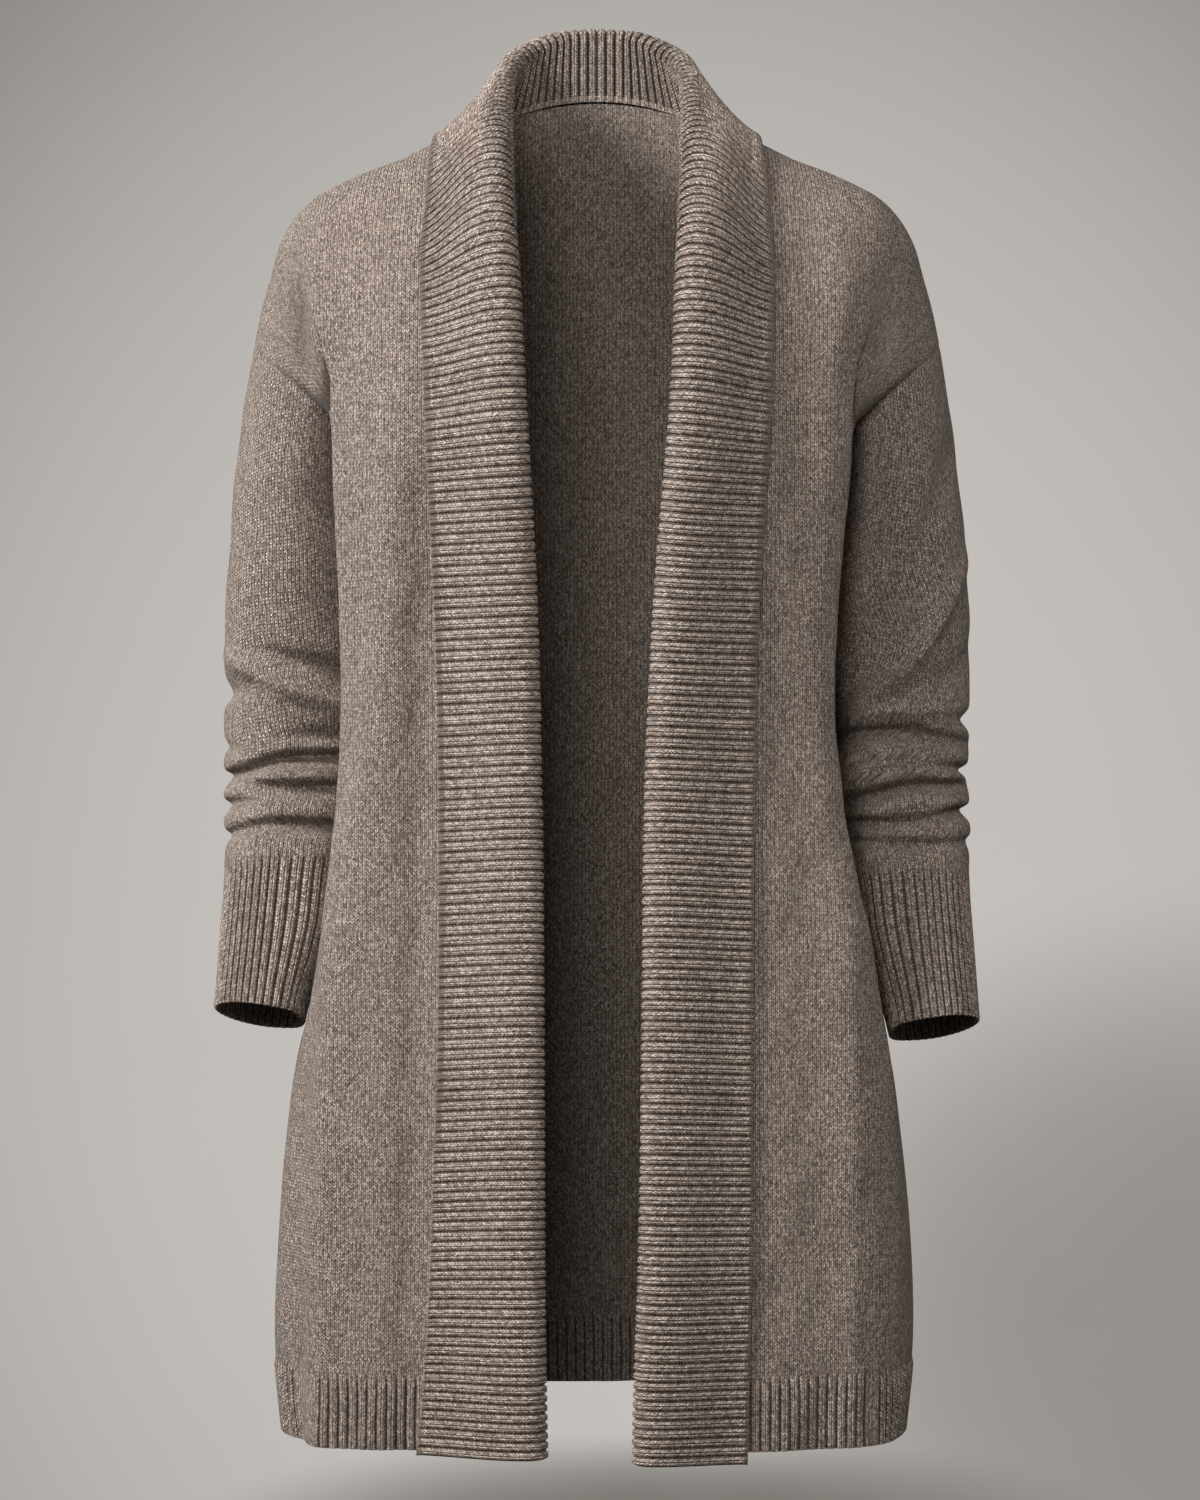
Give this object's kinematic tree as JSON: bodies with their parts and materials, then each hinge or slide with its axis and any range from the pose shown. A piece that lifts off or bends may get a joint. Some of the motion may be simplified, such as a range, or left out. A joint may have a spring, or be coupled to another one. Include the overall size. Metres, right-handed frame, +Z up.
{
  "type": "shawl collar cardigan",
  "caption": "Long open-front shawl collar cardigan, heathered taupe wool, stockinette with ribbed collar, cuffs and hem",
  "frame": {"origin": "between the two shoulders, at the base of the neck, where the wearer's shoulders carry the garment", "axes": "+Z up, -Y towards the front of the garment, +X to the right as seen from the front"},
  "size_m": [0.4828, 0.288, 0.9035],
  "materials": {
    "stockinette_knit": "matte",
    "rib_knit": "matte"
  },
  "bodies": {
    "root": {"back": "stockinette_knit", "collar_left": "rib_knit", "collar_right": "rib_knit", "cuff_left": "rib_knit", "cuff_right": "rib_knit", "front_left": "stockinette_knit", "front_right": "stockinette_knit", "hem_rib_back": "rib_knit", "hem_rib_front_left": "rib_knit", "hem_rib_front_right": "rib_knit", "sleeve_left": "stockinette_knit", "sleeve_right": "stockinette_knit"}
  },
  "joints": []
}
